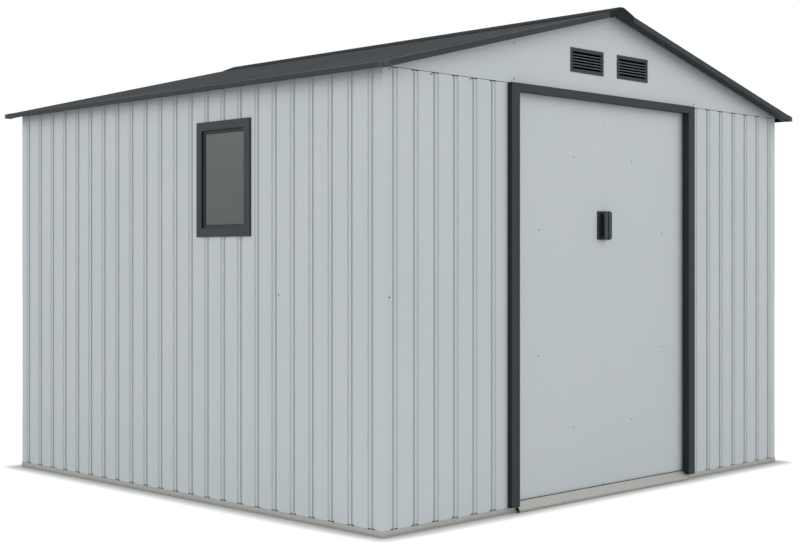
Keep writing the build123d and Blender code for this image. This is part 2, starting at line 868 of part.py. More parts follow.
# Verge trims: channels that close the roof's edge along each slope of each gable
verge_line = [
    (roof_end - trim_top_return, trim),
    (roof_end, trim),
    (roof_end, -trim_depth),
    (roof_end - verge_bottom_return, -trim_depth),
]
eave_cut = Plane.YZ.offset(-(roof_half - cap_size))
with BuildPart() as verge_trim_front_left:
    with BuildSketch(roof_plane.offset(-trim_depth)):
        with BuildLine():
            Polyline(*folded(verge_line, -trim), close=True)
        make_face()
    extrude(amount=roof_half / roof_cos + 2 * trim_depth)
    split(bisect_by=Plane.YZ, keep=Keep.BOTTOM)
    split(bisect_by=eave_cut, keep=Keep.TOP)
save(verge_trim_front_left, "verge_trim_front_left")

verge_mirrors = {
    "verge_trim_front_right": Plane.YZ,
    "verge_trim_back_left": Plane.XZ,
}
for name, plane in verge_mirrors.items():
    with BuildPart() as verge_trim:
        mirror(verge_trim_front_left.part, about=plane)
    save(verge_trim, name)
with BuildPart() as verge_trim_back_right:
    mirror(verge_trim.part, about=Plane.YZ)
save(verge_trim_back_right, "verge_trim_back_right")

# Eave trims: channels that close the roof's lower edges between the corner caps
eave_line = [
    (eave_overhang - trim_top_return, roof_top(roof_half - trim_top_return) + trim / roof_cos),
    (eave_overhang, roof_top(roof_half) + trim / roof_cos),
    (eave_overhang, roof_top(roof_half) - eave_drop),
    (eave_overhang - eave_bottom_return, roof_top(roof_half) - eave_drop),
]
eave_start = cap_size - verge_overhang
for side in ("left", "right"):
    with BuildPart() as eave_trim:
        with BuildSketch(wall_section(side, eave_start)):
            with BuildLine():
                Polyline(*folded(eave_line, -trim), close=True)
            make_face()
        extrude(amount=wall_depth - 2 * eave_start)
    save(eave_trim, f"eave_trim_{side}")

# Corner caps: moulded blocks that close the trims at the four corners of the roof
cap_inner = roof_half - cap_size
cap_outer = roof_half + cap_proud
with BuildPart() as roof_corner_caps:
    with BuildSketch(face_plane(0, -(roof_end - cap_size), 0)):
        with BuildLine():
            Polyline(
                (-cap_inner, roof_top(roof_half) - eave_drop - cap_proud),
                (-cap_inner, roof_top(cap_inner) + 2 * trim),
                (-cap_outer, roof_top(cap_outer) + 2 * trim),
                (-cap_outer, roof_top(roof_half) - eave_drop - cap_proud),
                close=True,
            )
        make_face()
    extrude(amount=cap_size + cap_proud)
    fillet(edges().filter_by(Axis.Z).group_by(Axis.X)[0].sort_by(Axis.Y)[0], radius=cap_corner)
    mirror(about=Plane.YZ)
    mirror(about=Plane.XZ)
save(roof_corner_caps, "roof_corner_caps")
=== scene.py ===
import math

import bpy
from mathutils import Matrix, Vector


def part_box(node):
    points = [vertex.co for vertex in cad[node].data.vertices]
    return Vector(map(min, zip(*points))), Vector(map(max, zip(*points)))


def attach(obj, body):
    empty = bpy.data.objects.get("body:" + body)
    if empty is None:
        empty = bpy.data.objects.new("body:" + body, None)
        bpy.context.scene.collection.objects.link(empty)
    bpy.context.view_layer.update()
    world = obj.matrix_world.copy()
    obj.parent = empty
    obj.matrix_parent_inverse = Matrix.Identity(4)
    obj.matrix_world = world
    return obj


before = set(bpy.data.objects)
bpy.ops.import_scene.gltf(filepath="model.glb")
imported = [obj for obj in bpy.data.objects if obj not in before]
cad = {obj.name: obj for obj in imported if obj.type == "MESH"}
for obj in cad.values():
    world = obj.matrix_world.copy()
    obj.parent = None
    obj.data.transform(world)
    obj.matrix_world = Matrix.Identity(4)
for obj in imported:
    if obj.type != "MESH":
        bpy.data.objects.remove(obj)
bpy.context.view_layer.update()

# Camera
# The photograph is taken from the front left, level, with the lens at chest height and far
# enough off that the shed's uprights stay parallel. The image is 800 by 550.
IMAGE_WIDTH = 800
HORIZON_ABOVE_MIDDLE = 15

eye = bpy.data.cameras.new("eye")
eye.lens = 63.475
eye.sensor_width = 36.0
eye.shift_y = -HORIZON_ABOVE_MIDDLE / IMAGE_WIDTH
camera = bpy.data.objects.new("camera", eye)
camera.location = (-4.7304, -4.7106, 0.967)
camera.rotation_euler = (math.radians(90), 0, math.radians(-45.01))
bpy.context.collection.objects.link(camera)
bpy.context.scene.camera = camera
bpy.context.scene.view_settings.view_transform = "Standard"


def linear(shade):
    """Linear colour of an sRGB hex value such as 'bac0c2'."""
    channels = [int(shade[place : place + 2], 16) / 255 for place in (0, 2, 4)]
    return [c / 12.92 if c <= 0.04045 else ((c + 0.055) / 1.055) ** 2.4 for c in channels] + [1.0]


def add_node(tree, kind, links=None, **settings):
    """Adds a node. A setting names a property or a socket, and a link gives a socket its source."""
    node = tree.nodes.new(kind)
    for name, value in settings.items():
        if hasattr(node, name):
            setattr(node, name, value)
        else:
            node.inputs[name.replace("_", " ")].default_value = value
    for name, source in (links or {}).items():
        tree.links.new(source, node.inputs[name])
    return node


# Studio
# A white room: the sky shows white to the camera and in reflections, and lights the shed softly.
# Two wide lamps stand far out to the left and to the right, so that each lights one of the two
# walls the camera sees, and the side of every groove that faces the camera stays dark.
SKY_LIGHT = 0.485
LAMP_POWER = 1.7
LAMP_SPREAD = 55

world = bpy.data.worlds.new("white room")
world.use_nodes = True
sky = world.node_tree
sky.nodes.clear()
ray = add_node(sky, "ShaderNodeLightPath")
direct = add_node(
    sky,
    "ShaderNodeMath",
    {0: ray.outputs["Is Camera Ray"], 1: ray.outputs["Is Glossy Ray"]},
    operation="MAXIMUM",
)
seen = add_node(
    sky,
    "ShaderNodeMath",
    {0: direct.outputs[0], 1: ray.outputs["Is Transmission Ray"]},
    operation="MAXIMUM",
)
soft_sky = add_node(sky, "ShaderNodeBackground", Color=(1, 1, 1, 1), Strength=SKY_LIGHT)
white_sky = add_node(sky, "ShaderNodeBackground", Color=(1, 1, 1, 1), Strength=1.0)
both_skies = add_node(
    sky,
    "ShaderNodeMixShader",
    {0: seen.outputs[0], 1: soft_sky.outputs[0], 2: white_sky.outputs[0]},
)
add_node(sky, "ShaderNodeOutputWorld", {"Surface": both_skies.outputs[0]})
bpy.context.scene.world = world

for name, stand in {"left lamp": (-0.87, 0.5, 0.5), "right lamp": (0.5, -0.87, 0.5)}.items():
    lamp_data = bpy.data.lights.new(name, "SUN")
    lamp_data.energy = LAMP_POWER
    lamp_data.angle = math.radians(LAMP_SPREAD)
    lamp = bpy.data.objects.new(name, lamp_data)
    lamp.rotation_euler = Vector(stand).to_track_quat("Z", "Y").to_euler()
    bpy.context.collection.objects.link(lamp)

# Floor
# A matt white floor that runs off into the white of the room. It shows a grey shade only in a
# narrow band along the foot of the walls, deeper than the light alone would make it.
FLOOR_SIZE = 60.0
FLOOR_WHITE = (0.8, 0.8, 0.8, 1)
FLOOR_SHADE = (0.6, 0.6, 0.6, 1)
FLOOR_GLOW = 0.7
SHADE_REACH = 0.128

bpy.ops.object.select_all(action="DESELECT")
bpy.ops.mesh.primitive_plane_add(size=FLOOR_SIZE, location=(0, 0, 0))
floor = bpy.context.object
floor.name = "floor"
floor_paint = bpy.data.materials.new("white floor")
floor_paint.use_nodes = True
paint = floor_paint.node_tree
paint.nodes.clear()
ray = add_node(paint, "ShaderNodeLightPath")
matt = add_node(paint, "ShaderNodeBsdfDiffuse", Color=FLOOR_WHITE)
shaded = add_node(paint, "ShaderNodeBsdfDiffuse", Color=FLOOR_SHADE)
place = add_node(paint, "ShaderNodeTexCoord").outputs["Object"]
across = add_node(paint, "ShaderNodeVectorMath", {0: place}, operation="ABSOLUTE")
past_wall = add_node(paint, "ShaderNodeVectorMath", {0: across.outputs[0]}, operation="SUBTRACT")
half_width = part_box("base_rail_right")[1][0]
half_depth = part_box("base_rail_back")[1][1]
past_wall.inputs[1].default_value = (half_width, half_depth, 0)
outside = add_node(paint, "ShaderNodeVectorMath", {0: past_wall.outputs[0]}, operation="MAXIMUM")
away = add_node(paint, "ShaderNodeVectorMath", {0: outside.outputs[0]}, operation="LENGTH")
clear = add_node(
    paint,
    "ShaderNodeMapRange",
    {"Value": away.outputs["Value"]},
    interpolation_type="SMOOTHSTEP",
    From_Max=SHADE_REACH,
    To_Max=FLOOR_GLOW,
)
glow = add_node(
    paint, "ShaderNodeEmission", {"Strength": clear.outputs["Result"]}, Color=(1, 1, 1, 1)
)
lit = add_node(paint, "ShaderNodeAddShader", {0: shaded.outputs[0], 1: glow.outputs[0]})
shown = add_node(
    paint,
    "ShaderNodeMixShader",
    {0: ray.outputs["Is Camera Ray"], 1: matt.outputs[0], 2: lit.outputs[0]},
)
add_node(paint, "ShaderNodeOutputMaterial", {"Surface": shown.outputs[0]})
floor.data.materials.append(floor_paint)


# Walls, gables and door leaves
# Cold-rolled steel sheet, ribbed by rollers and coated with satin polyester before it was formed.
# The coat has a faint orange peel, and the thin sheet is never quite flat between its ribs.
PEEL_SIZE = 0.004
PEEL_HEIGHT = 0.00015
WAVE_SIZE = 0.35
WAVE_HEIGHT = 0.004
CLOUD_SIZE = 0.6
COAT_GLOSS_SPREAD = 0.05


def new_finish(name):
    """An empty material, its node tree, and the place on the object that its patterns go by."""
    material = bpy.data.materials.new(name)
    material.use_nodes = True
    material.node_tree.nodes.clear()
    place = add_node(material.node_tree, "ShaderNodeTexCoord").outputs["Object"]
    return material, material.node_tree, place


def painted_steel(name, colour, worn_colour, roughness, sheen):
    """Satin polyester coat on thin sheet, a little more worn in soft clouds."""
    material, tree, place = new_finish(name)
    cloud = add_node(tree, "ShaderNodeTexNoise", {"Vector": place}, Scale=1 / CLOUD_SIZE, Detail=4)
    tint = add_node(
        tree,
        "ShaderNodeMix",
        {"Factor": cloud.outputs["Fac"]},
        data_type="RGBA",
        A=linear(colour),
        B=linear(worn_colour),
    )
    gloss = add_node(
        tree,
        "ShaderNodeMapRange",
        {"Value": cloud.outputs["Fac"]},
        From_Min=0.3,
        From_Max=0.7,
        To_Min=roughness - COAT_GLOSS_SPREAD,
        To_Max=roughness + COAT_GLOSS_SPREAD,
    )
    wave = add_node(tree, "ShaderNodeTexNoise", {"Vector": place}, Scale=1 / WAVE_SIZE, Detail=1)
    peel = add_node(tree, "ShaderNodeTexNoise", {"Vector": place}, Scale=1 / PEEL_SIZE, Detail=2)
    waved = add_node(
        tree, "ShaderNodeBump", {"Height": wave.outputs["Fac"]}, Strength=0.5, Distance=WAVE_HEIGHT
    )
    peeled = add_node(
        tree,
        "ShaderNodeBump",
        {"Height": peel.outputs["Fac"], "Normal": waved.outputs["Normal"]},
        Strength=0.25,
        Distance=PEEL_HEIGHT,
    )
    coat = add_node(
        tree,
        "ShaderNodeBsdfPrincipled",
        {
            "Base Color": tint.outputs["Result"],
            "Roughness": gloss.outputs["Result"],
            "Normal": peeled.outputs["Normal"],
        },
        IOR=1.45,
        Specular_IOR_Level=sheen,
    )
    add_node(tree, "ShaderNodeOutputMaterial", {"Surface": coat.outputs[0]})
    return material


def dress(material, *names):
    """Gives CAD nodes a finish."""
    for name in names:
        for slot in cad[name].material_slots:
            slot.material = material


wall_paint = painted_steel("light grey polyester on steel", "b5bbbe", "b2b9bb", 0.5, 0.3)
dress(
    wall_paint,
    "left_wall_front",
    "left_wall_window",
    "left_wall_middle",
    "left_wall_back",
    "right_wall",
    "back_wall",
    "front_wall_left",
    "front_wall_right",
    "front_gable",
    "back_gable",
    "door_leaf_left",
    "door_leaf_right",
)

# Roof, its trims and the door frame
# The same coated sheet in dark grey, ribbed for the roof and folded into channels for the rest. The
# roof's coat is more matt, from the weather. The ridge cap is the darkest, and that is painted
# shade:
# its darker grey stands for the shade along its folded edges.
trim_paint = painted_steel("dark grey polyester on steel", "2f3538", "33393c", 0.55, 0.12)
roof_paint = painted_steel("matt dark grey polyester on steel", "2e3437", "32383b", 0.7, 0.07)
# The ridge cap's darker grey is painted shade, not a darker coat.
ridge_painted_shade = painted_steel("dark grey polyester on steel darkened as painted shade", "1f2426", "22272a", 0.7, 0.05)
dress(roof_paint, "roof_left", "roof_right")
dress(ridge_painted_shade, "ridge_cap")
dress(
    trim_paint,
    "verge_trim_front_left",
    "verge_trim_front_right",
    "verge_trim_back_left",
    "verge_trim_back_right",
    "eave_trim_left",
    "eave_trim_right",
    "door_jamb_left",
    "door_jamb_right",
    "door_header",
)

# Base rails, sill, track and the rails and beams inside
# Hot-dip galvanised strip, bent cold. The zinc has set in grey crystals, each with its own shine.
SPANGLE_SIZE = 0.012
ZINC_GRAIN_HEIGHT = 0.0002
ZINC_GLOSS_SPREAD = 0.03


def galvanised_steel(name, colour, dark_colour, roughness):
    """Zinc coat with its spangle, whose edges wander."""
    material, tree, place = new_finish(name)
    bend = add_node(tree, "ShaderNodeTexNoise", {"Vector": place}, Scale=2 / SPANGLE_SIZE, Detail=2)
    shifted = add_node(
        tree,
        "ShaderNodeVectorMath",
        {0: bend.outputs["Color"]},
        operation="SCALE",
        Scale=SPANGLE_SIZE / 2,
    )
    bent = add_node(
        tree, "ShaderNodeVectorMath", {0: place, 1: shifted.outputs[0]}, operation="ADD"
    )
    crystal = add_node(
        tree, "ShaderNodeTexVoronoi", {"Vector": bent.outputs[0]}, Scale=1 / SPANGLE_SIZE
    )
    level = add_node(tree, "ShaderNodeSeparateColor", {"Color": crystal.outputs["Color"]})
    tint = add_node(
        tree,
        "ShaderNodeMix",
        {"Factor": level.outputs["Red"]},
        data_type="RGBA",
        A=linear(colour),
        B=linear(dark_colour),
    )
    gloss = add_node(
        tree,
        "ShaderNodeMapRange",
        {"Value": level.outputs["Green"]},
        To_Min=roughness - ZINC_GLOSS_SPREAD,
        To_Max=roughness + ZINC_GLOSS_SPREAD,
    )
    fine = add_node(tree, "ShaderNodeTexNoise", {"Vector": place}, Scale=4 / SPANGLE_SIZE, Detail=3)
    relief = add_node(
        tree,
        "ShaderNodeBump",
        {"Height": fine.outputs["Fac"]},
        Strength=0.3,
        Distance=ZINC_GRAIN_HEIGHT,
    )
    zinc = add_node(
        tree,
        "ShaderNodeBsdfPrincipled",
        {
            "Base Color": tint.outputs["Result"],
            "Roughness": gloss.outputs["Result"],
            "Normal": relief.outputs["Normal"],
        },
        Metallic=0.85,
    )
    add_node(tree, "ShaderNodeOutputMaterial", {"Surface": zinc.outputs[0]})
    return material


zinc = galvanised_steel("hot-dip galvanised steel", "9f9f9b", "9b9b97", 0.55)
dress(
    zinc,
    "base_rail_front",
    "base_rail_back",
    "base_rail_left",
    "base_rail_right",
    "base_cross_rails",
    "door_sill",
    "door_track",
    "door_hangers_left",
    "door_hangers_right",
    "door_braces_left",
    "door_braces_right",
    "wall_middle_rails",
    "wall_top_rails",
    "corner_brackets",
    "ridge_beam",
    "roof_purlins",
)

# Window frame, vents, roof corner caps and door pulls
# Injection-moulded polypropylene, dark grey right through. The vents' slats are given a lighter
# grey, which is painted light on them. The mould has a fine leather grain, drawn here at 1.5 mm so
# that it shows.
GRAIN_SIZE = 0.0015
GRAIN_HEIGHT = 0.0002
FLOWS_PER_METRE = 9
SLAT_INSET = 0.0003


def moulded_plastic(name, colour, pale_colour, roughness, slat_painted_light_colour=None):
    """Grained moulded plastic. A vent's slats, behind its frame's face, get a lighter grey as
    painted light.
    """
    material, tree, place = new_finish(name)
    flow = add_node(tree, "ShaderNodeTexNoise", {"Vector": place}, Scale=FLOWS_PER_METRE, Detail=3)
    tint = add_node(
        tree,
        "ShaderNodeMix",
        {"Factor": flow.outputs["Fac"]},
        data_type="RGBA",
        A=linear(colour),
        B=linear(pale_colour),
    )
    body_colour = tint.outputs["Result"]
    # Painted light: the slats behind the frame's face get a lighter grey than the frame.
    if slat_painted_light_colour:
        parts = add_node(tree, "ShaderNodeSeparateXYZ", {"Vector": place})
        depth = add_node(tree, "ShaderNodeMath", {0: parts.outputs["Y"]}, operation="ABSOLUTE")
        behind = add_node(tree, "ShaderNodeMath", {0: depth.outputs[0]}, operation="LESS_THAN")
        behind.inputs[1].default_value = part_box("back_vents")[1][1] - SLAT_INSET
        slats_painted_light = add_node(
            tree,
            "ShaderNodeMix",
            {"Factor": behind.outputs[0]},
            data_type="RGBA",
            B=linear(slat_painted_light_colour),
        )
        tree.links.new(body_colour, slats_painted_light.inputs["A"])
        body_colour = slats_painted_light.outputs["Result"]
    grain = add_node(tree, "ShaderNodeTexVoronoi", {"Vector": place}, Scale=1 / GRAIN_SIZE)
    relief = add_node(
        tree,
        "ShaderNodeBump",
        {"Height": grain.outputs["Distance"]},
        Strength=0.2,
        Distance=GRAIN_HEIGHT,
    )
    gloss = add_node(
        tree,
        "ShaderNodeMapRange",
        {"Value": flow.outputs["Fac"]},
        From_Min=0.3,
        From_Max=0.7,
        To_Min=roughness - 0.04,
        To_Max=roughness + 0.06,
    )
    plastic = add_node(
        tree,
        "ShaderNodeBsdfPrincipled",
        {
            "Base Color": body_colour,
            "Roughness": gloss.outputs["Result"],
            "Normal": relief.outputs["Normal"],
        },
        IOR=1.49,
        Specular_IOR_Level=0.2,
    )
    add_node(tree, "ShaderNodeOutputMaterial", {"Surface": plastic.outputs[0]})
    return material


frame_plastic = moulded_plastic("charcoal grey polypropylene", "2b3335", "2f3739", 0.55)
dress(frame_plastic, "window_frame")
grey_plastic = moulded_plastic("dark grey polypropylene", "30383a", "343c3e", 0.52)
# The slats' lighter grey is painted light, not a second colour of plastic.
vent_plastic_painted_light = moulded_plastic(
    "two-tone grey polypropylene", "242a2c", "282e30", 0.52, slat_painted_light_colour="5f676a"
)
dress(vent_plastic_painted_light, "front_vents", "back_vents")
dress(
    grey_plastic,
    "roof_corner_caps",
    "door_handle_left",
    "door_handle_right",
)

# Window pane
# A flat sheet of smoke-grey polycarbonate. It is smooth, lets a little light through, and shows
# the dark inside more than it mirrors the white room.
RIPPLES_PER_METRE = 3
RIPPLE_HEIGHT = 0.002

pane_sheet, tree, place = new_finish("smoke grey polycarbonate")
flow = add_node(tree, "ShaderNodeTexNoise", {"Vector": place}, Scale=RIPPLES_PER_METRE, Detail=1)
ripple = add_node(
    tree, "ShaderNodeBump", {"Height": flow.outputs["Fac"]}, Strength=0.2, Distance=RIPPLE_HEIGHT
)
tint = add_node(
    tree,
    "ShaderNodeMix",
    {"Factor": flow.outputs["Fac"]},
    data_type="RGBA",
    A=linear("4a5452"),
    B=linear("545856"),
)
resin = add_node(
    tree,
    "ShaderNodeBsdfPrincipled",
    {"Base Color": tint.outputs["Result"], "Normal": ripple.outputs["Normal"]},
    Roughness=0.2,
    IOR=1.58,
    Transmission_Weight=0.25,
    Specular_IOR_Level=0.3,
)
add_node(tree, "ShaderNodeOutputMaterial", {"Surface": resin.outputs[0]})
dress(pane_sheet, "window_pane")

# Door edge seal
# A soft strip of light grey PVC along the left door's meeting edge. It is pressed over the folded
# sheet, closes the gap between the doors, and stops a little above their foot.
SEAL_CLEARANCE = 0.0001
SEAL_FOOT_GAP = 0.015
SEAL_ROUNDING = 0.0002
GROOVE_RIM = 0.003
GROOVE_DEPTH = 0.0015
DIE_LINES_PER_METRE = 900
DIE_LINE_HEIGHT = 0.0002


def choose(piece, test):
    """Selects the faces of a piece in edit mode by the place of their middle and their normal."""
    bpy.ops.mesh.select_mode(type="FACE")
    bpy.ops.mesh.select_all(action="DESELECT")
    bpy.ops.object.mode_set(mode="OBJECT")
    for face in piece.data.polygons:
        face.select = test(face.center, face.normal)
    bpy.ops.object.mode_set(mode="EDIT")


def block(name, low, high):
    """A block between two corners, its place in its mesh, left in edit mode."""
    low, high = Vector(low), Vector(high)
    bpy.ops.object.select_all(action="DESELECT")
    bpy.ops.mesh.primitive_cube_add(size=1, location=(low + high) / 2, scale=high - low)
    bpy.ops.object.transform_apply(location=True, rotation=True, scale=True)
    piece = bpy.context.object
    piece.name = name
    bpy.ops.object.mode_set(mode="EDIT")
    return piece


def rounded(piece, width, steps=2):
    """Leaves edit mode and rounds all the edges of a piece."""
    bpy.ops.object.mode_set(mode="OBJECT")
    rounding = piece.modifiers.new("rounding", "BEVEL")
    rounding.width = width
    rounding.segments = steps
    bpy.ops.object.modifier_apply(modifier=rounding.name)


left_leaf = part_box("door_leaf_left")
right_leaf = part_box("door_leaf_right")
seal = block(
    "door_edge_seal",
    (left_leaf[1][0], left_leaf[0][1], left_leaf[0][2] + SEAL_FOOT_GAP),
    (right_leaf[0][0] - SEAL_CLEARANCE, left_leaf[1][1], left_leaf[1][2]),
)
choose(seal, lambda middle, normal: normal.x > 0.9)
bpy.ops.mesh.inset(thickness=GROOVE_RIM)
bpy.ops.transform.translate(value=(-GROOVE_DEPTH, 0, 0))
rounded(seal, SEAL_ROUNDING)


def soft_extrusion(name, colour, pale_colour, roughness):
    """Extruded soft plastic or rubber, with the fine lines of the die along its length."""
    material, tree, place = new_finish(name)
    along = add_node(tree, "ShaderNodeMapping", {"Vector": place}, Scale=(1, 1, 0.01))
    lines = add_node(
        tree,
        "ShaderNodeTexNoise",
        {"Vector": along.outputs[0]},
        Scale=DIE_LINES_PER_METRE,
        Detail=2,
    )
    tint = add_node(
        tree,
        "ShaderNodeMix",
        {"Factor": lines.outputs["Fac"]},
        data_type="RGBA",
        A=linear(colour),
        B=linear(pale_colour),
    )
    relief = add_node(
        tree,
        "ShaderNodeBump",
        {"Height": lines.outputs["Fac"]},
        Strength=0.3,
        Distance=DIE_LINE_HEIGHT,
    )
    resin = add_node(
        tree,
        "ShaderNodeBsdfPrincipled",
        {"Base Color": tint.outputs["Result"], "Normal": relief.outputs["Normal"]},
        Roughness=roughness,
        IOR=1.53,
        Specular_IOR_Level=0.3,
    )
    add_node(tree, "ShaderNodeOutputMaterial", {"Surface": resin.outputs[0]})
    return material


seal.data.materials.append(soft_extrusion("light grey soft PVC", "b5bbbe", "b2b9bb", 0.55))
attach(seal, "door_left")

# Rib closures
# Black closed-cell polyethylene foam, cut to the hollow on each side of a rib's bead. It is pressed
# in behind the base rail's lip and under the gable sheets to keep insects out, and only its ends
# show. Its cells are drawn at 1.4 mm so that they show.
RIB_PITCH = 0.1045
LONG_RIBS = 25
SIDE_RIBS = 23
RIBS_BESIDE_DOOR = 6
RAIL_LIP = 0.0015
FOAM_INNER = 0.0018
FOAM_OUTER = 0.0185
FOAM_FACE = 0.0003
FOAM_DEPTH = 0.0043
FOAM_SHRINK = 0.57
FOAM_SHRINK_CENTRE = 0.0059
FOAM_FOOT = (0.012, 0.0262)
FOAM_HEAD = (1.6405, 1.6495)
CELLS_PER_METRE = 700
CELL_HEIGHT = 0.0005


def foam_pair(name, low, high):
    """Foam for both hollows of one rib, whose bead is on the Y axis' line and which faces -Y."""
    piece = block(name, (FOAM_INNER, FOAM_FACE, low), (FOAM_OUTER, FOAM_DEPTH, high))
    choose(piece, lambda middle, normal: normal.y > 0.9)
    bpy.ops.transform.resize(
        value=(FOAM_SHRINK, 1, 1), center_override=(FOAM_SHRINK_CENTRE, FOAM_DEPTH, low)
    )
    bpy.ops.object.mode_set(mode="OBJECT")
    other_side = piece.modifiers.new("other side", "MIRROR")
    bpy.ops.object.modifier_apply(modifier=other_side.name)
    bpy.ops.object.mode_set(mode="EDIT")
    bpy.ops.mesh.select_all(action="SELECT")
    bpy.ops.mesh.normals_make_consistent(inside=False)
    bpy.ops.object.mode_set(mode="OBJECT")
    return piece


def copies(model, name, places):
    """One piece from copies of a finished model, each moved by its own matrix."""
    bpy.ops.object.select_all(action="DESELECT")
    for place in places:
        copy = model.copy()
        copy.data = model.data.copy()
        copy.data.transform(place)
        bpy.context.collection.objects.link(copy)
        copy.select_set(True)
        bpy.context.view_layer.objects.active = copy
    bpy.ops.object.join()
    joined = bpy.context.object
    joined.name = name
    return joined


def rail_frame(side):
    """Matrix from a rail that faces -Y, its face's middle at the origin, to a rail of the shed."""
    turn = {"front": 0, "right": 90, "back": 180, "left": 270}[side]
    face = -half_depth if side in ("front", "back") else -half_width
    return Matrix.Rotation(math.radians(turn), 4, "Z") @ Matrix.Translation((0, face, 0))


foot_places = []
head_places = []
for side in ("front", "back", "left", "right"):
    count = LONG_RIBS if side in ("front", "back") else SIDE_RIBS
    for number in range(count):
        if side == "front" and RIBS_BESIDE_DOOR <= number < count - RIBS_BESIDE_DOOR:
            continue
        along = (number - (count - 1) / 2) * RIB_PITCH
        place = rail_frame(side) @ Matrix.Translation((along, RAIL_LIP, 0))
        foot_places.append(place)
        if count == LONG_RIBS:
            head_places.append(place)

# This black is foam on the rib closures, and painted shadow on the gable strips below.
black_foam_and_painted_shadow, tree, place = new_finish("black polyethylene foam also as painted shadow")
cells = add_node(tree, "ShaderNodeTexVoronoi", {"Vector": place}, Scale=CELLS_PER_METRE)
tint = add_node(
    tree,
    "ShaderNodeMix",
    {"Factor": cells.outputs["Distance"]},
    data_type="RGBA",
    A=linear("1b1d1e"),
    B=linear("2b2e2f"),
)
relief = add_node(
    tree,
    "ShaderNodeBump",
    {"Height": cells.outputs["Distance"]},
    Strength=0.6,
    Distance=CELL_HEIGHT,
)
foam = add_node(
    tree,
    "ShaderNodeBsdfPrincipled",
    {"Base Color": tint.outputs["Result"], "Normal": relief.outputs["Normal"]},
    Roughness=0.85,
    IOR=1.5,
    Specular_IOR_Level=0.2,
)
add_node(tree, "ShaderNodeOutputMaterial", {"Surface": foam.outputs[0]})

for name, span, places in (
    ("foot_rib_closures", FOAM_FOOT, foot_places),
    ("head_rib_closures", FOAM_HEAD, head_places),
):
    model = foam_pair("foam model", *span)
    closures = copies(model, name, places)
    bpy.data.objects.remove(model)
    closures.data.materials.append(black_foam_and_painted_shadow)
    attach(closures, "root")

# Gable shadow strips
# A thin strip in the black foam material, under the hem of each gable sheet. It is painted shadow:
# it draws the dark line of shade beneath the hem. The door header parts the front one.
STRIP_DROP = 0.0013
STRIP_PROUD = 0.0012
STRIP_ROUNDING = 0.0004

gable_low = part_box("front_gable")[0]
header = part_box("door_header")
wall_left, wall_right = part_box("left_wall_front")[0][0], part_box("right_wall")[1][0]
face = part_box("front_wall_left")[0][1]
gable_shadow_spans = {
    "front_left_gable_shadow_strip": (wall_left, header[0][0], face - STRIP_PROUD, face),
    "front_right_gable_shadow_strip": (header[1][0], wall_right, face - STRIP_PROUD, face),
    "back_gable_shadow_strip": (wall_left, wall_right, -face, STRIP_PROUD - face),
}
# Each strip is painted shadow under a gable sheet's hem.
for name, (start, end, near, far) in gable_shadow_spans.items():
    strip = block(name, (start, near, gable_low[2] - STRIP_DROP), (end, far, gable_low[2]))
    rounded(strip, STRIP_ROUNDING)
    strip.data.materials.append(black_foam_and_painted_shadow)
    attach(strip, "root")

# Sill edge bead
# A thin bead of black rubber along the top edge of the door sill.
# It keeps 5 mm clear of the doors, which slide past behind it.
BEAD_WIDTH = 0.0016
BEAD_RISE = 0.0044
BEAD_END_GAP = 0.002
BEAD_FROM_LEAF = 0.0052
BEAD_ROUNDING = 0.0004

sill_low, sill_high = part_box("door_sill")
bead_back = left_leaf[0][1] - BEAD_FROM_LEAF
bead = block(
    "sill_edge_bead",
    (sill_low[0] + BEAD_END_GAP, bead_back - BEAD_WIDTH, sill_high[2] - BEAD_RISE / 2),
    (sill_high[0] - BEAD_END_GAP, bead_back, sill_high[2] + BEAD_RISE / 2),
)
rounded(bead, BEAD_ROUNDING)
black_rubber = soft_extrusion("black EPDM rubber", "17191a", "1f2223", 0.6)
bead.data.materials.append(black_rubber)
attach(bead, "root")

# Sill foot lip
# The sill's galvanised strip, turned down to the floor under its front lip, so that no gap shows
# there.
LIP_THICKNESS = 0.0012
LIP_FLOOR_GAP = 0.0012
LIP_END_GAP = 0.001
LIP_ROUNDING = 0.0003

foot_lip = block(
    "sill_foot_lip",
    (sill_low[0] + LIP_END_GAP, sill_low[1], LIP_FLOOR_GAP),
    (sill_high[0] - LIP_END_GAP, sill_low[1] + LIP_THICKNESS, sill_low[2]),
)
choose(foot_lip, lambda middle, normal: normal.z < -0.9)
bpy.ops.transform.translate(value=(0, LIP_THICKNESS, 0))
rounded(foot_lip, LIP_ROUNDING)
foot_lip.data.materials.append(zinc)
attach(foot_lip, "root")

# Base rail hems
# The foot of each base rail is folded back on itself outside. The fold stands a little proud, leans
# in towards the floor, and catches the light along its top.
HEM_RISE = 0.0105
HEM_FLOOR_GAP = 0.0008
HEM_PROUD = 0.0022
HEM_LEAN = 0.0016
HEM_ROUNDING = 0.0007

for side in ("front", "back", "left", "right"):
    rail_low, rail_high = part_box(f"base_rail_{side}")
    length_axis = 0 if side in ("front", "back") else 1
    reach = (rail_high[length_axis] - rail_low[length_axis]) / 2
    hem = block(
        f"base_rail_hem_{side}", (-reach, -HEM_PROUD, HEM_FLOOR_GAP), (reach, 0, HEM_RISE)
    )
    choose(hem, lambda middle, normal: normal.z < -0.9)
    bpy.ops.transform.resize(value=(1, 1 - HEM_LEAN / HEM_PROUD, 1), center_override=(0, 0, 0))
    rounded(hem, HEM_ROUNDING, steps=3)
    hem.data.transform(rail_frame(side))
    hem.data.materials.append(zinc)
    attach(hem, "root")

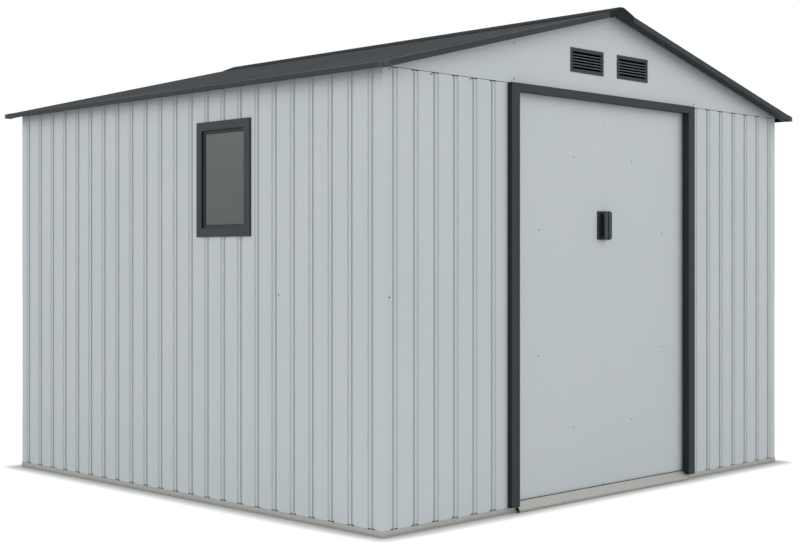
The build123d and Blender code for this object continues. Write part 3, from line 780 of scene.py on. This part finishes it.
# Screws
# Self-drilling steel screws with a low head and a cross recess, powder coated dark grey. They hold
# the doors to their braces, the wall sheets to the frame, and the roof to its purlins. Those of
# the doors sit in shallow dimples, so that the doors pass behind their frame.
SCREW_SIDES = 12
HEAD_WIDTH = 0.0064
HEAD_RISE = 0.0012
HEAD_DOME = 0.75
RECESS_WIDTH = 0.0012
RECESS_RIM = 0.0006
RECESS_DEPTH = 0.0004
RECESS_TAPER = 0.75
TOUCH = 0.00001
LEAF_DIMPLE = 0.0007
OUTSIDE = 2
ABOVE = 3
TO_BACK = (0, 1, 0)
TO_FRONT = (0, -1, 0)
TO_RIGHT = (1, 0, 0)
TO_LEFT = (-1, 0, 0)
DOWN = (0, 0, -1)

bpy.ops.object.select_all(action="DESELECT")
bpy.ops.mesh.primitive_cylinder_add(
    vertices=SCREW_SIDES, radius=HEAD_WIDTH / 2, depth=HEAD_RISE / 2, location=(0, 0, HEAD_RISE / 4)
)
bpy.ops.object.transform_apply(location=True)
screw = bpy.context.object
bpy.ops.object.mode_set(mode="EDIT")
choose(screw, lambda middle, normal: normal.z > 0.9)
bpy.ops.mesh.extrude_region_move(TRANSFORM_OT_translate={"value": (0, 0, HEAD_RISE / 2)})
bpy.ops.transform.resize(value=(HEAD_DOME, HEAD_DOME, 1))
bpy.ops.mesh.inset(thickness=RECESS_RIM)
head_inner = HEAD_WIDTH * HEAD_DOME / 2 - RECESS_RIM


def inside_rim(middle, normal):
    """The faces on top of the screw's head, inside its rim."""
    return middle.z > HEAD_RISE - TOUCH and math.hypot(middle.x, middle.y) < head_inner


for cut_at, cut_along in (
    ((RECESS_WIDTH / 2, 0, 0), (1, 0, 0)),
    ((-RECESS_WIDTH / 2, 0, 0), (1, 0, 0)),
    ((0, RECESS_WIDTH / 2, 0), (0, 1, 0)),
    ((0, -RECESS_WIDTH / 2, 0), (0, 1, 0)),
):
    choose(screw, inside_rim)
    bpy.ops.mesh.bisect(plane_co=cut_at, plane_no=cut_along)
choose(
    screw,
    lambda middle, normal: inside_rim(middle, normal)
    and min(abs(middle.x), abs(middle.y)) < RECESS_WIDTH / 2,
)
bpy.ops.mesh.extrude_region_move(TRANSFORM_OT_translate={"value": (0, 0, -RECESS_DEPTH)})
bpy.ops.transform.resize(value=(RECESS_TAPER, RECESS_TAPER, 1), center_override=(0, 0, 0))
bpy.ops.object.mode_set(mode="OBJECT")


def seat(node, start, towards, sunk=0):
    """Matrix that stands a screw on the sheet which a line from outside meets, or sinks it in."""
    hit, point, facing, _ = cad[node].ray_cast(Vector(start), Vector(towards))
    if not hit:
        raise ValueError(f"no sheet of {node} at {start}")
    turn = facing.to_track_quat("Z", "Y").to_matrix().to_4x4()
    return Matrix.Translation(point - sunk * facing) @ turn


seam = (left_leaf[1][0] + right_leaf[0][0]) / 2
leaf_screws = [(0.198, 1.381), (0.417, 1.084), (0.419, 0.591), (0.198, 0.295)]
left_door_seats = [
    seat("door_leaf_left", (seam - x, -OUTSIDE, z), TO_BACK, LEAF_DIMPLE) for x, z in leaf_screws
]
right_door_seats = [
    seat("door_leaf_right", (seam + x, -OUTSIDE, z), TO_BACK, LEAF_DIMPLE) for x, z in leaf_screws
]

wall_screws = [(-1.2772, 1.6345), (-1.0682, 1.6345), (-0.8592, 1.6345), (-1.2772, 0.836)]
gable_screws = [(-0.609, 1.798), (-0.609, 1.660), (0.618, 1.657)]
front_seats = [seat("front_wall_left", (x, -OUTSIDE, z), TO_BACK) for x, z in wall_screws]
front_seats += [seat("front_gable", (x, -OUTSIDE, z), TO_BACK) for x, z in gable_screws]

back_screws = [(x, z) for x in (-1.062, -0.644, -0.017, 0.61, 1.028) for z in (0.842, 1.635)]
back_gable_screws = [(x, z) for x in (-0.609, 0.609) for z in (1.798, 1.660)]
back_seats = [seat("back_wall", (x, OUTSIDE, z), TO_FRONT) for x, z in back_screws]
back_seats += [seat("back_gable", (x, OUTSIDE, z), TO_FRONT) for x, z in back_gable_screws]

side_seats = [
    seat("left_wall_front", (-OUTSIDE, -0.650, 0.836), TO_RIGHT),
    seat("right_wall", (OUTSIDE, -0.650, 0.836), TO_LEFT),
]
roof_seats = [
    seat(f"roof_{side}", (way * across, along, ABOVE), DOWN)
    for side, way in (("left", -1), ("right", 1))
    for across in (0.46, 0.92)
    for along in (-0.6793, -0.0523, 0.5747)
]

screw_coat = painted_steel("dark grey powder coat on screw steel", "2a2e30", "2f3436", 0.45, 0.3)
screw.data.materials.append(screw_coat)
for name, seats, body in (
    ("left_door_screws", left_door_seats, "door_left"),
    ("right_door_screws", right_door_seats, "door_right"),
    ("front_screws", front_seats, "root"),
    ("back_screws", back_seats, "root"),
    ("side_screws", side_seats, "root"),
    ("roof_screws", roof_seats, "root"),
):
    group = copies(screw, name, seats)
    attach(group, body)
bpy.data.objects.remove(screw)

# Window gasket
# A bead of black EPDM rubber, pressed in all round where the pane meets the frame's step. It keeps
# rain out.
GASKET_WIDTH = 0.003
GASKET_RISE = 0.002
PANE_EDGE = 0.005
GASKET_ROUNDING = 0.0007

pane_low, pane_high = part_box("window_pane")
pane_face = pane_low[0]
gasket = block(
    "window_gasket",
    (pane_face - GASKET_RISE, pane_low[1] + PANE_EDGE, pane_low[2] + PANE_EDGE),
    (pane_face, pane_high[1] - PANE_EDGE, pane_high[2] - PANE_EDGE),
)
choose(gasket, lambda middle, normal: abs(normal.x) > 0.9)
bpy.ops.mesh.inset(thickness=GASKET_WIDTH, use_individual=True)
bpy.ops.mesh.bridge_edge_loops()
rounded(gasket, GASKET_ROUNDING)
gasket.data.materials.append(black_rubber)
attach(gasket, "root")
